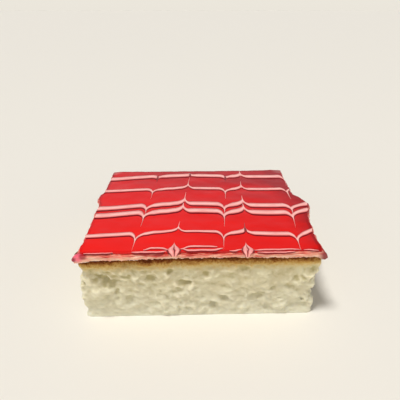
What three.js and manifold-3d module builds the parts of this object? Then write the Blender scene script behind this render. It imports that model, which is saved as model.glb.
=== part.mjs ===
// A slice of tres leches cake: a milk-soaked sponge with torn, pitted cut sides, a thin layer of
// cream, and a red glaze feathered with lines of white icing. Millimetres, +Z up, the front of the
// slice towards -Y. The origin is the middle of the flat base that the slice stands on.

import * as THREE from 'three';
import { mergeVertices } from 'three/addons/utils/BufferGeometryUtils.js';
import Module from 'manifold-3d';

// Driving dimensions of the slice

const WIDTH = 100; // topping, left to right
const DEPTH = 90; // topping, front to back
const HEIGHT = 34; // base to the top of the glaze
const GLAZE_THICKNESS = 0.9;
const CREAM_THICKNESS = 1.6;
const LAYER_GAP = 0.1; // between the layers
const SIDE_OVERHANG = 0.5; // the topping stands this far past the sponge on the left and right
const FRONT_OVERHANG = 2; // and this far at the front and back
const CREAM_SHOWING = 0.5; // the glaze stops this far inside the cut edge of the cream

const SPONGE_WIDTH = WIDTH - 2 * SIDE_OVERHANG;
const SPONGE_DEPTH = DEPTH - 2 * FRONT_OVERHANG;
const GLAZE_BOTTOM = HEIGHT - GLAZE_THICKNESS;
const CREAM_BOTTOM = GLAZE_BOTTOM - LAYER_GAP - CREAM_THICKNESS;
const SPONGE_TOP = CREAM_BOTTOM - LAYER_GAP;

const RIGHT = WIDTH / 2;
const FRONT = -DEPTH / 2;

// Crumb of the cut sides

const CORNER_RADIUS = 2.4; // upright corners of the sponge
const SIDE_STEP = 2; // spacing of the points on the cut sides
const SIDE_BULGE = 0.7; // the soaked sides swell at half height
const LUMP_SIZE = 5.5;
const LUMP_HEIGHT = 0.9;
const LUMP_FLATNESS = 1.6; // lumps and pits are this many times wider than high
const PIT_COUNT = 70;
const PIT_RADIUS = [2.2, 3.6]; // smallest and largest
const PIT_DEPTH = [0.6, 1.5];
const SHOULDER = 3; // the crumb smooths out over this height at the crust and at the base
const CRUMB_SEED = 7;

// The deepest pits of the front face, as places across and up it, and the tear beside its left corner
const FRONT_PITS = [[3.6, 5.8], [8.9, 9.5], [10, 15.4], [-7, 17.3], [-20.8, 20], [26, 12], [-29, 9]];
const FRONT_PIT_RADIUS = 3.4;
const FRONT_PIT_DEPTH = 1.8;
const TEAR = { x: -42, z: 17, halfWidth: 1.5, halfHeight: 5, depth: 2 };

// Topping: where the knife has dragged it, how far that place moved and how wide the pull reaches

const TUGS = [
  { at: [RIGHT, -1], move: [3.7, 0], reach: 14 },
  { at: [RIGHT, -10], move: [2, 0], reach: 24 },
  { at: [RIGHT, FRONT], move: [0, 1], reach: 30 },
  { at: [RIGHT, -FRONT], move: [0.4, 0.8], reach: 24 },
  { at: [-RIGHT, FRONT], move: [-0.4, 0], reach: 9 },
  { at: [-RIGHT, 8], move: [-2, 0], reach: 9 },
];
const TOPPING_CELLS = [16, 32]; // grid of the layers, left to right and front to back
const TOPPING_GATHER = [2.4, 1.4]; // crowds the grid towards the edges, the same ways
const GLAZE_ROUND = 0.45; // the top edge of the glaze rounds down this far
const CREAM_LIP = 0.35; // the cut edge of the cream hangs this far below its underside
const LIP_WAVE = { size: 4, height: 0.3 };
// Where the cut edge hangs farther, how far it falls and stands out, and how wide
const HANGS = [
  { at: [-RIGHT, FRONT], fall: 1.6, out: [-1.8, 0.2], reach: 12 }, // fold at a front corner
  { at: [RIGHT, FRONT + 1], fall: 2.6, out: [2.6, 0.2], reach: 9 }, // flap at the other one
  { at: [RIGHT + 5, -1], fall: 1.2, out: [0.4, 0], reach: 12 },
];

// Icing: rows piped from left to right, then dragged by a knife to the front or to the back in turn

const ICING_RISE = 0.35; // above the glaze
const ICING_SINK = 0.5; // into the glaze
// Level and width of each row, how far its middle, its left and its right end are bent back, and the
// share of a full drag that each stroke has in it
const ICING_ROWS = [
  { y: 34.1, width: 4.6, bends: [3, -1.6, 0], drags: [0.5, 0.15, 0.6, 0.7, 1], waists: [] },
  { y: 16.3, width: 3, bends: [2.2, -0.8, 1], drags: [0.8, 1, 0.9, 0.8, 1], waists: [] },
  { y: -3.6, width: 3.9, bends: [3, -1.6, 3], drags: [0.9, 1, 1, 1, 1], waists: [] },
  { y: -11.3, width: 4.2, bends: [3, -1.6, 4.5], drags: [1, 1, 1, 1, 1], waists: [] },
  {
    y: -30.7,
    width: 3.9,
    bends: [2.3, -1, 3.5],
    drags: [1.1, 0.65, 1, 0.55, 1],
    waists: [{ x: -5, share: 0.55, reach: 28 }], // where the row is thin
  },
];
const BENDS = [{ x: -6, reach: 45 }, { x: -52, reach: 27 }, { x: 54, reach: 12 }];
// Where a stroke crosses the middle of the slice, how far it leans to the right towards the back, and
// whether it goes to the back or to the front
const STROKES = [
  { x: -25.2, slant: 0.071, towards: -1 },
  { x: -7.3, slant: 0.088, towards: 1 },
  { x: 13.1, slant: 0.0955, towards: -1 },
  { x: 22.1, slant: 0.093, towards: 1 },
  { x: 45.7, slant: 0.125, towards: -1 },
];
// How far a stroke drags both edges of a row, how far it drags the leading edge on, how far it carries the
// icing beside it along, and how wide each drag reaches
const ROW_DRAG = [{ pull: 4.2, reach: 3.8 }, { pull: 1.2, reach: 1 }];
const LEADING_DRAG = [{ pull: 1.2, reach: 4.8 }, { pull: 3.6, reach: 1.2 }];
const SIDE_DRAG = { offset: 3.2, pull: 0.8, reach: 4.5 };
const CUSP_WAIST = { offset: 1.5, share: 0.7, reach: 3 }; // a row is thin beside a stroke
// Where the outline of a row has points: at these distances from a stroke, at these distances from the
// ends of the row, and evenly stepped elsewhere
const STROKE_COLUMNS = [0, 0.5, 1.1, 2.2, 3.8, 5.8];
const END_COLUMNS = [0, 1.2, 2.5, 4.2];
const ROW_STEP = 6;
const ROW_INSET = 0.5; // icing stops this far inside the edge of the glaze
const RIM_WIDTH = 7; // icing farther inside than this isn't dragged along with the cut edge

// Along the front edge the cut left thin lines of a row, and a pair of petals where a stroke starts
const FRONT_LINES = [
  { y: -42.7, width: 0.9, start: -24, stop: -13.5 },
  { y: -42, width: 1, start: -8.6, stop: 8.8 },
  { y: -43.8, width: 0.9, start: -9, stop: 8.8 },
  { y: -43.9, width: 0.9, start: -28, stop: -13.5 },
  { y: -43.9, width: 0.9, start: 22.5, stop: 41 },
];
const LINE_TAPER = 4; // length of the tapered ends
const LINE_TIP = 0.3; // width at the ends
const PETAL = { back: -40, shoulder: -42.4, foot: -44.2, width: 2.2, footWidth: 1.5, slit: 0.5 };
const PETAL_CURVE = 4; // pieces of the rounded side

const wasm = await Module();
wasm.setup();

// Seeded noise

// A fixed number from 0 to 1 for each whole-numbered place
function hash(ix, iy, iz) {
  let h = Math.imul(ix, 374761393) ^ Math.imul(iy, 668265263) ^ Math.imul(iz, 1274126177);
  h = Math.imul(h ^ Math.imul(CRUMB_SEED, 2246822519) ^ (h >>> 13), 1274126177);
  return ((h ^ (h >>> 16)) >>> 0) / 2 ** 32;
}

// Value noise from -1 to 1 with a feature size of one unit
function noise(x, y, z) {
  const corner = [x, y, z].map(Math.floor);
  const [u, v, w] = [x, y, z].map((value, i) => THREE.MathUtils.smoothstep(value - corner[i], 0, 1));
  let sum = 0;
  for (let i = 0; i < 8; i++) {
    const [dx, dy, dz] = [i & 1, (i >> 1) & 1, i >> 2];
    const weight = (dx ? u : 1 - u) * (dy ? v : 1 - v) * (dz ? w : 1 - w);
    sum += weight * hash(corner[0] + dx, corner[1] + dy, corner[2] + dz);
  }
  return 2 * sum - 1;
}

// A draw from 0 to 1 for one pit, the same each run, with a plane of the noise for each purpose
const draw = (index, purpose) => hash(index, purpose, 0);

const between = ([low, high], share) => low + (high - low) * share;

// Moves every vertex of a geometry by a function of its place
function reshape(geometry, move) {
  const position = geometry.getAttribute('position');
  const point = new THREE.Vector3();
  for (let i = 0; i < position.count; i++) {
    move(point.fromBufferAttribute(position, i));
    position.setXYZ(i, point.x, point.y, point.z);
  }
  geometry.deleteAttribute('normal');
  geometry.deleteAttribute('uv');
  return geometry;
}

// Sponge

// Outline of the sponge, evenly stepped round a rectangle with rounded corners
function spongeOutline() {
  const [x, y, r] = [SPONGE_WIDTH / 2, SPONGE_DEPTH / 2, CORNER_RADIUS];
  const path = new THREE.Path();
  path.moveTo(-x + r, -y);
  path.lineTo(x - r, -y).absarc(x - r, -y + r, r, -Math.PI / 2, 0);
  path.lineTo(x, y - r).absarc(x - r, y - r, r, 0, Math.PI / 2);
  path.lineTo(-x + r, y).absarc(-x + r, y - r, r, Math.PI / 2, Math.PI);
  path.lineTo(-x, -y + r).absarc(-x + r, -y + r, r, Math.PI, Math.PI * 1.5);
  const points = path.getSpacedPoints(Math.round(path.getLength() / SIDE_STEP));
  points.pop(); // the path ends where it began
  return points;
}

// The direction out of the sponge at a point of its sides
function outward(point) {
  const flat = new THREE.Vector2(point.x, point.y);
  const core = new THREE.Vector2(SPONGE_WIDTH / 2 - CORNER_RADIUS, SPONGE_DEPTH / 2 - CORNER_RADIUS);
  return flat.clone().sub(flat.clone().clamp(core.clone().negate(), core)).normalize();
}

// Pits spread round the sides by seeded draws, with the deepest ones of the front face
function pits(outline) {
  const spread = Array.from({ length: PIT_COUNT }, (_, i) => {
    const spot = outline[Math.floor(((i + draw(i, 1)) / PIT_COUNT) * outline.length) % outline.length];
    return {
      centre: new THREE.Vector3(spot.x, spot.y, between([SHOULDER, SPONGE_TOP - SHOULDER], draw(i, 2))),
      radius: between(PIT_RADIUS, draw(i, 3)),
      depth: between(PIT_DEPTH, draw(i, 4)),
    };
  });
  const front = FRONT_PITS.map(([x, z]) => ({
    centre: new THREE.Vector3(x, -SPONGE_DEPTH / 2, z),
    radius: FRONT_PIT_RADIUS,
    depth: FRONT_PIT_DEPTH,
  }));
  return [...spread, ...front];
}

// How far the crumb stands out at a point of the sides: swelling, lumps, pits and the tear
function crumbRelief(point, pitList) {
  const { x, y, z } = point;
  let relief = SIDE_BULGE * Math.sin((Math.PI * z) / SPONGE_TOP);
  relief += LUMP_HEIGHT * noise(x / LUMP_SIZE, y / LUMP_SIZE, (z / LUMP_SIZE) * LUMP_FLATNESS);
  for (const { centre, radius, depth } of pitList) {
    const across = Math.hypot(x - centre.x, y - centre.y) / radius;
    const up = ((z - centre.z) / radius) * LUMP_FLATNESS;
    relief -= depth * Math.max(0, 1 - across ** 2 - up ** 2) ** 2;
  }
  if (y < -SPONGE_DEPTH / 2 + CORNER_RADIUS) {
    const across = (x - TEAR.x) / TEAR.halfWidth;
    const up = (z - TEAR.z) / TEAR.halfHeight;
    relief -= TEAR.depth * Math.max(0, 1 - across ** 2 - up ** 2);
  }
  return relief;
}

function spongeGeometry() {
  const outline = spongeOutline();
  const pitList = pits(outline);
  const geometry = new THREE.ExtrudeGeometry(new THREE.Shape(outline), {
    depth: SPONGE_TOP,
    steps: Math.round(SPONGE_TOP / SIDE_STEP),
    bevelEnabled: false,
  });
  return reshape(geometry, (point) => {
    const { smoothstep } = THREE.MathUtils;
    const fade = smoothstep(point.z, 0, SHOULDER) * smoothstep(SPONGE_TOP - point.z, 0, SHOULDER);
    const out = outward(point).multiplyScalar(fade * crumbRelief(point, pitList));
    point.x += out.x;
    point.y += out.y;
  });
}

// Topping

// How strongly a pull at one place acts on a point, from 1 there to 0 at its reach
function pullShare(point, at, reach) {
  const away = Math.hypot(point.x - at[0], point.y - at[1]);
  return THREE.MathUtils.smoothstep(1 - away / reach, 0, 1);
}

// Drags a point of the topping along with each tug that reaches it
function tug(point, strength = 1) {
  for (const { at, move, reach } of TUGS) {
    const share = strength * pullShare(point, at, reach);
    point.x += share * move[0];
    point.y += share * move[1];
  }
}

// Lets the lower cut edge of the cream hang below its underside
function hang(point) {
  const place = point.clone();
  point.z -= CREAM_LIP + LIP_WAVE.height * noise(place.x / LIP_WAVE.size, place.y / LIP_WAVE.size, 0);
  for (const { at, fall, out, reach } of HANGS) {
    const share = pullShare(place, at, reach);
    point.add(new THREE.Vector3(...out, -fall).multiplyScalar(share));
  }
}

// Crowds evenly stepped places from -half to half towards both ends
function gather(value, half, strength) {
  const share = Math.abs(value) / half;
  return Math.sign(value) * half * (1 - (1 - share) ** strength);
}

// A layer of the topping, dragged by the tugs; finishEdge shapes the rim of its top or its underside
function layerGeometry({ width, depth, bottom, thickness, finishEdge }) {
  const geometry = new THREE.BoxGeometry(width, depth, thickness, ...TOPPING_CELLS, 1);
  const touch = 1e-6;
  return reshape(geometry, (point) => {
    const onEdge = Math.abs(point.x) > width / 2 - touch || Math.abs(point.y) > depth / 2 - touch;
    const onTop = point.z > 0;
    point.set(
      gather(point.x, width / 2, TOPPING_GATHER[0]),
      gather(point.y, depth / 2, TOPPING_GATHER[1]),
      bottom + (onTop ? thickness : 0),
    );
    tug(point);
    if (onEdge) finishEdge(point, onTop);
  });
}

// Icing

// A pull that is strongest at its middle: 1 there, and 0 at its reach
const softly = (away, reach) => THREE.MathUtils.smoothstep(1 - Math.abs(away) / reach, 0, 1);
const sharply = (away, reach) => Math.max(0, 1 - Math.abs(away) / reach) ** 2;

// How far one edge of a row is dragged by a stroke; side is 1 for its back edge and -1 for its front edge
function dragBy(stroke, row, x, side) {
  const away = x - stroke.x - stroke.slant * row.y;
  const beside = away + stroke.towards * SIDE_DRAG.offset;
  let dragged = SIDE_DRAG.pull * softly(beside, SIDE_DRAG.reach);
  for (const { pull, reach } of stroke.towards === side ? [...ROW_DRAG, ...LEADING_DRAG] : ROW_DRAG) {
    dragged += pull * sharply(away, reach);
  }
  return stroke.towards * dragged;
}

// How wide a row is at x: thin at its waists and beside its strokes
function widthAt(row, x) {
  const beside = STROKES.map((stroke) => ({
    x: stroke.x + stroke.slant * row.y + CUSP_WAIST.offset,
    share: CUSP_WAIST.share,
    reach: CUSP_WAIST.reach,
  }));
  return [...row.waists, ...beside].reduce((width, waist) => {
    return width * (1 - (1 - waist.share) * softly(x - waist.x, waist.reach));
  }, row.width);
}

function rowPoint(row, x, side) {
  const point = new THREE.Vector2(x, row.y + (side * widthAt(row, x)) / 2);
  BENDS.forEach((bend, i) => {
    point.y += row.bends[i] * softly(x - bend.x, bend.reach);
  });
  STROKES.forEach((stroke, i) => {
    const dragged = row.drags[i] * dragBy(stroke, row, x, side);
    point.add(new THREE.Vector2(stroke.slant * dragged, dragged));
  });
  const limit = DEPTH / 2 - CREAM_SHOWING - ROW_INSET;
  point.y = THREE.MathUtils.clamp(point.y, -limit, limit);
  return point;
}

// Places along a row where its outline has points: evenly stepped, but set by their distance from a
// stroke or from the row's ends where one of those is near
function rowColumns(row) {
  const end = WIDTH / 2 - CREAM_SHOWING - ROW_INSET;
  const marks = STROKES.map((stroke) => ({ x: stroke.x + stroke.slant * row.y, offsets: STROKE_COLUMNS }))
    .filter((mark) => Math.abs(mark.x) < end);
  marks.push({ x: -end, offsets: END_COLUMNS }, { x: end, offsets: END_COLUMNS });
  const columns = [];
  for (const { x, offsets } of marks) {
    const others = marks.filter((other) => other.x !== x);
    for (const column of new Set(offsets.flatMap((offset) => [x - offset, x + offset]))) {
      const isNearest = others.every((other) => Math.abs(column - other.x) > Math.abs(column - x));
      if (Math.abs(column) <= end && isNearest) columns.push(column);
    }
  }
  for (let x = -end + ROW_STEP; x < end; x += ROW_STEP) {
    if (marks.every((mark) => Math.abs(x - mark.x) > mark.offsets.at(-1))) columns.push(x);
  }
  return columns.sort((a, b) => a - b);
}

function rowOutline(row) {
  const columns = rowColumns(row);
  const front = columns.map((x) => rowPoint(row, x, -1));
  const back = columns.map((x) => rowPoint(row, x, 1));
  return [...front, ...back.reverse()];
}

function lineOutline({ y, width, start, stop }) {
  const columns = [
    [start, LINE_TIP],
    [start + LINE_TAPER, width],
    [stop - LINE_TAPER, width],
    [stop, LINE_TIP],
  ];
  const front = columns.map(([x, across]) => new THREE.Vector2(x, y - across / 2));
  const back = columns.map(([x, across]) => new THREE.Vector2(x, y + across / 2));
  return [...front, ...back.reverse()];
}

// One petal beside a stroke: straight along the slit, rounded outwards, pointed at the back
function petalOutline(stroke, side) {
  const middle = stroke.x + stroke.slant * PETAL.shoulder;
  const at = (across, y) => new THREE.Vector2(middle + side * (PETAL.slit / 2 + across), y);
  const rounded = new THREE.SplineCurve([
    at(0, PETAL.back),
    at(PETAL.width, PETAL.shoulder),
    at(PETAL.footWidth, PETAL.foot),
  ]);
  return [at(0, PETAL.foot), ...rounded.getPoints(PETAL_CURVE)];
}

// Icing with a given outline, raised above the glaze and dragged along with the cut edge near the rim
function icingGeometry(outline) {
  const geometry = new THREE.ExtrudeGeometry(new THREE.Shape(outline), {
    depth: ICING_SINK + ICING_RISE,
    bevelEnabled: false,
  });
  geometry.translate(0, 0, HEIGHT - ICING_SINK);
  return reshape(geometry, (point) => {
    const inside = Math.min(RIGHT - Math.abs(point.x), -FRONT - Math.abs(point.y));
    tug(point, softly(inside, RIM_WIDTH));
  });
}

// Joining

const MERGE_DISTANCE = 1e-4;

function solidOf(geometry) {
  const merged = mergeVertices(geometry, MERGE_DISTANCE);
  const mesh = new wasm.Mesh({
    numProp: 3,
    vertProperties: merged.getAttribute('position').array,
    triVerts: new Uint32Array(merged.index.array),
  });
  return new wasm.Manifold(mesh);
}

function geometryOf(solid) {
  const mesh = solid.getMesh();
  return new THREE.BufferGeometry()
    .setAttribute('position', new THREE.BufferAttribute(mesh.vertProperties, 3))
    .setIndex(new THREE.BufferAttribute(mesh.triVerts, 1));
}

// The slice

function piece(name, geometry, color, roughness) {
  geometry.computeVertexNormals();
  const mesh = new THREE.Mesh(geometry, new THREE.MeshStandardMaterial({ color, roughness, metalness: 0 }));
  mesh.name = name;
  return mesh;
}

function creamGeometry() {
  return layerGeometry({
    width: WIDTH,
    depth: DEPTH,
    bottom: CREAM_BOTTOM,
    thickness: CREAM_THICKNESS,
    finishEdge: (point, onTop) => {
      if (!onTop) hang(point);
    },
  });
}

// The glaze with the icing fused into its top
function glazeGeometry() {
  const sheet = layerGeometry({
    width: WIDTH - 2 * CREAM_SHOWING,
    depth: DEPTH - 2 * CREAM_SHOWING,
    bottom: GLAZE_BOTTOM,
    thickness: GLAZE_THICKNESS,
    finishEdge: (point, onTop) => {
      if (onTop) point.z -= GLAZE_ROUND;
    },
  });
  const petals = STROKES.filter((stroke) => stroke.towards > 0)
    .flatMap((stroke) => [petalOutline(stroke, -1), petalOutline(stroke, 1)]);
  const outlines = [...ICING_ROWS.map(rowOutline), ...FRONT_LINES.map(lineOutline), ...petals];
  const icing = outlines.map((outline) => solidOf(icingGeometry(outline)));
  return geometryOf(icing.reduce((fused, solid) => fused.add(solid), solidOf(sheet)));
}

const slice = new THREE.Group();
slice.name = 'tres_leches_slice';
slice.add(piece('sponge', spongeGeometry(), 0xd9cca5, 0.6));
slice.add(piece('cream', creamGeometry(), 0xe6a892, 0.45));
slice.add(piece('glaze', glazeGeometry(), 0xdf2622, 0.12));

export default slice;
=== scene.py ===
# %% [markdown]
# # A slice of tres leches cake
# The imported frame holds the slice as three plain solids: a soaked sponge, a thin layer of cream and a
# red glaze with icing lines. This lesson gives each of them the surface of the real cake, in the
# frame's own place and size. Blender works in metres, so every length below is a number of
# millimetres times MM.

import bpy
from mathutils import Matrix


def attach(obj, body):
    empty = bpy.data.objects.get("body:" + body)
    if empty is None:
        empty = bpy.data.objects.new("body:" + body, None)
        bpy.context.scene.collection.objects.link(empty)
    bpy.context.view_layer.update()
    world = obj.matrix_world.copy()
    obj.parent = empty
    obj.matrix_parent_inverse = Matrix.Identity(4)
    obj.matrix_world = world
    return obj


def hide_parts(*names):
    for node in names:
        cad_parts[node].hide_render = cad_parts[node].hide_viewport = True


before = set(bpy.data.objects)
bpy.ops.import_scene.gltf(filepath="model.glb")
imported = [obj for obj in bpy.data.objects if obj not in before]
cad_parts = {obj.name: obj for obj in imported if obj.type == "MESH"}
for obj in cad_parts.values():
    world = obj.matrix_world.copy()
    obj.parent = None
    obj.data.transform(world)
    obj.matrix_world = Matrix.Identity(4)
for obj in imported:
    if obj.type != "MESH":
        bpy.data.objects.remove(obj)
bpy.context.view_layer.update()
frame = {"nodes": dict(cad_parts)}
MM = 0.001
print("solids:", ", ".join(frame["nodes"]))

# %% [markdown]
# ## Camera
# The camera stands where the photograph was taken: in front of the slice, close to it and a little
# above it, with the wide lens of a pocket camera. Place, tilt and focal length were found by fitting
# the corners of the topping and of the cut face. The focal length is given in pixels of a square
# frame, so that it can be turned into a lens for a sensor of any width.

# %% Camera
import math

import bpy
from mathutils import Vector

FRAME_PIXELS = 400
FOCAL_PIXELS = 407.6
SENSOR_WIDTH = 36  # millimetres, as Blender's lens panel has it
CAMERA_PLACE = Vector((-4.44, -184.42, 123.29)) * MM
CAMERA_PITCH = 25.365  # degrees down
CAMERA_YAW = 1.556  # degrees to the right

camera = bpy.data.objects.new("camera", bpy.data.cameras.new("camera"))
camera.data.sensor_fit = "HORIZONTAL"
camera.data.sensor_width = SENSOR_WIDTH
camera.data.lens = FOCAL_PIXELS / FRAME_PIXELS * SENSOR_WIDTH
camera.data.clip_start = 5 * MM
camera.location = CAMERA_PLACE
camera.rotation_euler = (math.radians(90 - CAMERA_PITCH), 0, math.radians(-CAMERA_YAW))
bpy.context.scene.collection.objects.link(camera)
bpy.context.scene.camera = camera
print("lens:", round(camera.data.lens, 2), "mm")

# %% [markdown]
# ## Sponge
# Milk-soaked sponge tears as it is cut: its sides are soft lumps with pits between them. It could be
# sculpted by brush, but a grid of small square faces keeps control of the scale. Only the four sides
# show, so the start is a box without lid and base. Operators act on all that is selected, and the
# frame leaves its solids selected, so `begin` clears the selection first. `select` then picks points,
# edges or faces by a test on their place or direction, which is what a modeller does by eye.

# %% A box without lid and base
import bmesh

SPONGE_SIZE = Vector((99, 86, 31.3)) * MM
MOSTLY = 0.5  # the share from which a direction or a weight counts


def begin(name, add, **settings):
    """Adds a primitive on its own, with its place in its mesh, and opens it in edit mode."""
    bpy.ops.object.select_all(action="DESELECT")
    add(**settings)
    piece = bpy.context.object
    piece.name = piece.data.name = name
    bpy.ops.object.transform_apply()
    bpy.ops.object.mode_set(mode="EDIT")
    return piece


def select(piece, kind, test):
    """In edit mode, selects only the "verts", "edges" or "faces" that pass a test."""
    bpy.ops.mesh.select_mode(type={"verts": "VERT", "edges": "EDGE", "faces": "FACE"}[kind])
    bpy.ops.mesh.select_all(action="DESELECT")
    mesh = bmesh.from_edit_mesh(piece.data)
    for element in getattr(mesh, kind):
        if test(element):
            element.select_set(True)
    bmesh.update_edit_mesh(piece.data)


def open_box(name, size, middle):
    """Adds a box with its middle at a height, deletes its lid and base, and stays in edit mode."""
    piece = begin(name, bpy.ops.mesh.primitive_cube_add, size=1, location=(0, 0, middle), scale=size)
    select(piece, "faces", lambda face: abs(face.normal.z) > MOSTLY)
    bpy.ops.mesh.delete(type="FACE")
    return piece


sponge = open_box("soaked_sponge", SPONGE_SIZE, SPONGE_SIZE.z / 2)
print("sides of the sponge:", len(bmesh.from_edit_mesh(sponge.data).faces))

# %% [markdown]
# No knife leaves a sharp upright corner on soft sponge, so these edges are bevelled. Rings of edges are
# then divided, first upright and then along X and Y, until a face is smaller than the finest crumb
# that the camera can see. Dividing rings keeps the faces square, which noise needs to look even.

# %% Round corners and a fine grid
X, Y, Z = range(3)  # the axes, as places in a vector
CORNER_RADIUS = 2.4 * MM
CORNER_STEPS = 8
CRUMB_STEP = 0.43 * MM
LONG_EDGE = 20 * MM
STRAIGHT = 0.99  # the share of its length by which an edge follows an axis


def is_upright(edge):
    along = edge.verts[1].co - edge.verts[0].co
    return abs(along.z) > MOSTLY * along.length


def runs_along(axis):
    """A test for long level edges that run along an axis."""
    def test(edge):
        along = edge.verts[1].co - edge.verts[0].co
        return abs(along[axis]) > max(LONG_EDGE, STRAIGHT * along.length)
    return test


def divide(piece, test, step):
    """Divides the edges that pass a test into steps of one length, with cuts across the faces between."""
    select(piece, "edges", test)
    edges = bmesh.from_edit_mesh(piece.data).edges
    longest = max(edge.calc_length() for edge in edges if edge.select)
    bpy.ops.mesh.subdivide_edgering(number_cuts=round(longest / step) - 1, interpolation="LINEAR")


def cut_grid(piece, corner_radius, corner_steps, row_height, step):
    """Rounds the upright corners of an open box, cuts its sides into a grid and leaves edit mode."""
    select(piece, "edges", is_upright)
    bpy.ops.mesh.bevel(offset=corner_radius, segments=corner_steps, affect="EDGES")
    divide(piece, is_upright, row_height)
    divide(piece, runs_along(X), step)
    divide(piece, runs_along(Y), step)
    bpy.ops.object.mode_set(mode="OBJECT")
    print(piece.name, "is cut into", len(piece.data.polygons), "faces")


cut_grid(sponge, CORNER_RADIUS, CORNER_STEPS, CRUMB_STEP, CRUMB_STEP)

# %% [markdown]
# The frame's sponge already has the swelling, the pits and the tear of the real one, in large facets.
# They could be modelled once more, but a Shrinkwrap modifier takes them over: it projects every point
# of the grid along its normal onto the solid. Modifiers are applied at once here, so that each step
# starts from a plain mesh.

# %% Shrink the sides onto the solid
SHRINK_REACH = 5 * MM


def modify(piece, kind, **settings):
    """Adds a modifier to a piece in object mode, sets it and applies it."""
    modifier = piece.modifiers.new(kind, kind)
    for key, value in settings.items():
        setattr(modifier, key, value)
    bpy.ops.object.modifier_apply(modifier=modifier.name)


def extent(piece, axis):
    """The lowest and the highest place of a piece along an axis, in millimetres."""
    places = [vertex.co[axis] / MM for vertex in piece.data.vertices]
    return round(min(places), 1), round(max(places), 1)


modify(sponge, "SHRINKWRAP", target=frame["nodes"]["sponge"], wrap_method="PROJECT",
       use_negative_direction=True, use_positive_direction=True, project_limit=SHRINK_REACH)
print("sponge along X and Y in mm:", extent(sponge, X), extent(sponge, Y))

# %% [markdown]
# The relief to come isn't even. It fades out at the top and at the base, where the sponge meets other
# things, and it is deep where the crumb was torn and shallow where it was cut clean. Such shares could
# be painted by brush. Here a vertex group holds them, with a weight for each point that is worked out
# from its place: height gives the fading, and slow noise spreads the torn patches.

# %% Where the crumb is torn
from mathutils import noise

CRUMB_FADE = 1.6 * MM
PATCH_SIZE = 13 * MM
PATCH_SHIFT = Vector((40, 0, 0)) * MM  # moves the noise, so that the left of the cut face is torn most
TORN_SHARE = 0.65
TORN_CONTRAST = 0.9


def ease(share):
    """The smooth step from 0 to 1 that Blender's falloffs use."""
    share = max(0, min(1, share))
    return share * share * (3 - 2 * share)


def crumb_share(place):
    """None at the top and the base of the sponge, and one between them."""
    return ease(min(place.z, SPONGE_SIZE.z - place.z) / CRUMB_FADE)


def torn_share(place):
    """Changes slowly over the sides, as some stretches were torn and others cut clean."""
    patch = noise.noise((place + PATCH_SHIFT) / PATCH_SIZE)
    return crumb_share(place) * ease(TORN_SHARE + TORN_CONTRAST * patch)


def weigh(piece, name, weight_at):
    """Gives a piece a vertex group with a weight for each point's place, and returns the mean weight."""
    group = piece.vertex_groups.new(name=name)
    weights = [weight_at(vertex.co) for vertex in piece.data.vertices]
    for index, weight in enumerate(weights):
        group.add([index], weight, "REPLACE")
    return sum(weights) / len(weights)


print("share with relief:", round(weigh(sponge, "crumb", crumb_share), 2))
print("share that is torn:", round(weigh(sponge, "torn", torn_share), 2))

# %% [markdown]
# The shrunk grid still shows the facets of the solid, so it is smoothed. Then its front corners are
# drawn out, as the knife drew them. Proportional editing could do that in edit mode. A Hook modifier
# gives finer control: it moves the points near its handle most and lets go at its reach, like a finger
# in dough. The handle is an empty that is moved, and removed once the hook is applied.

# %% Draw out the corners
FACET_SMOOTHING = 14
# Where the knife drew a corner out, how far and how wide, in millimetres
CORNER_TUGS = [
    ((-49.5, -43, 31.3), (-3.2, -0.4, 0), 10),
    ((-49.5, -43, 9), (-2.2, 0, 0), 24),
    ((49.5, -43, 31.3), (0.8, 0, 0), 10),
    ((49.5, -43, 25), (1.2, 0, 0), 7),
    ((49.5, -43, 13.5), (-1.4, 0, 0), 10),
]


def add_empty(name, **settings):
    """Adds an empty, which other steps use as a handle or as a space."""
    empty = bpy.data.objects.new(name, None)
    for key, value in settings.items():
        setattr(empty, key, value)
    bpy.context.scene.collection.objects.link(empty)
    bpy.context.view_layer.update()
    return empty


def tug(piece, at, move, reach, group="", falloff="SMOOTH"):
    """Drags what lies within reach of a place, most at the place itself, by a hook."""
    at = Vector(at) * MM
    handle = add_empty("handle", location=at)
    hook = piece.modifiers.new("tug", "HOOK")
    hook.object = handle
    hook.vertex_indices_set(range(len(piece.data.vertices)))
    hook.vertex_group = group
    hook.matrix_inverse = handle.matrix_world.inverted()
    hook.center = at
    hook.falloff_radius = reach * MM
    hook.falloff_type = falloff
    handle.location = at + Vector(move) * MM
    bpy.context.view_layer.update()
    bpy.ops.object.modifier_apply(modifier=hook.name)
    bpy.data.objects.remove(handle)


modify(sponge, "SMOOTH", factor=0.5, iterations=FACET_SMOOTHING, vertex_group="crumb")
for at, move, reach in CORNER_TUGS:
    tug(sponge, at, move, reach)
print("sponge along X in mm:", extent(sponge, X))

# %% [markdown]
# Some marks are too plain to leave to chance. At the left of the cut face a flap of crumb was torn
# loose: it stands out, with deep hollows along its upper edge. Elsewhere the knife opened single large
# bubbles. Sculpting would suit these as well, but hooks with a short reach place them to the
# millimetre.

# %% Tear and opened bubbles
# Where it is along X and Z, how far the crumb goes in there, or stands out if that is negative, and how
# wide, in millimetres
HOLLOWS = [
    ((-43.5, 20.5), 1.6, 2.6),
    ((-40.5, 18.8), 1.9, 2.8),
    ((-37.8, 16.6), 2.1, 2.8),
    ((-36.2, 13.6), 1.6, 2.6),
    ((-43, 14), -2.2, 6),
    ((-20, 20.3), 1, 2.2),
    ((-5.7, 17.2), 1.8, 2.4),
    ((5.2, 5.4), 2.2, 2.8),
    ((10.3, 9.3), 1, 2.6),
    ((16.1, 5.4), 1.2, 3),
]

CUT_FACE = -SPONGE_SIZE.y / 2 / MM
for (x, z), depth, reach in HOLLOWS:
    tug(sponge, (x, CUT_FACE, z), (0, depth, 0), reach)
print("hollows:", len(HOLLOWS))

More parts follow.
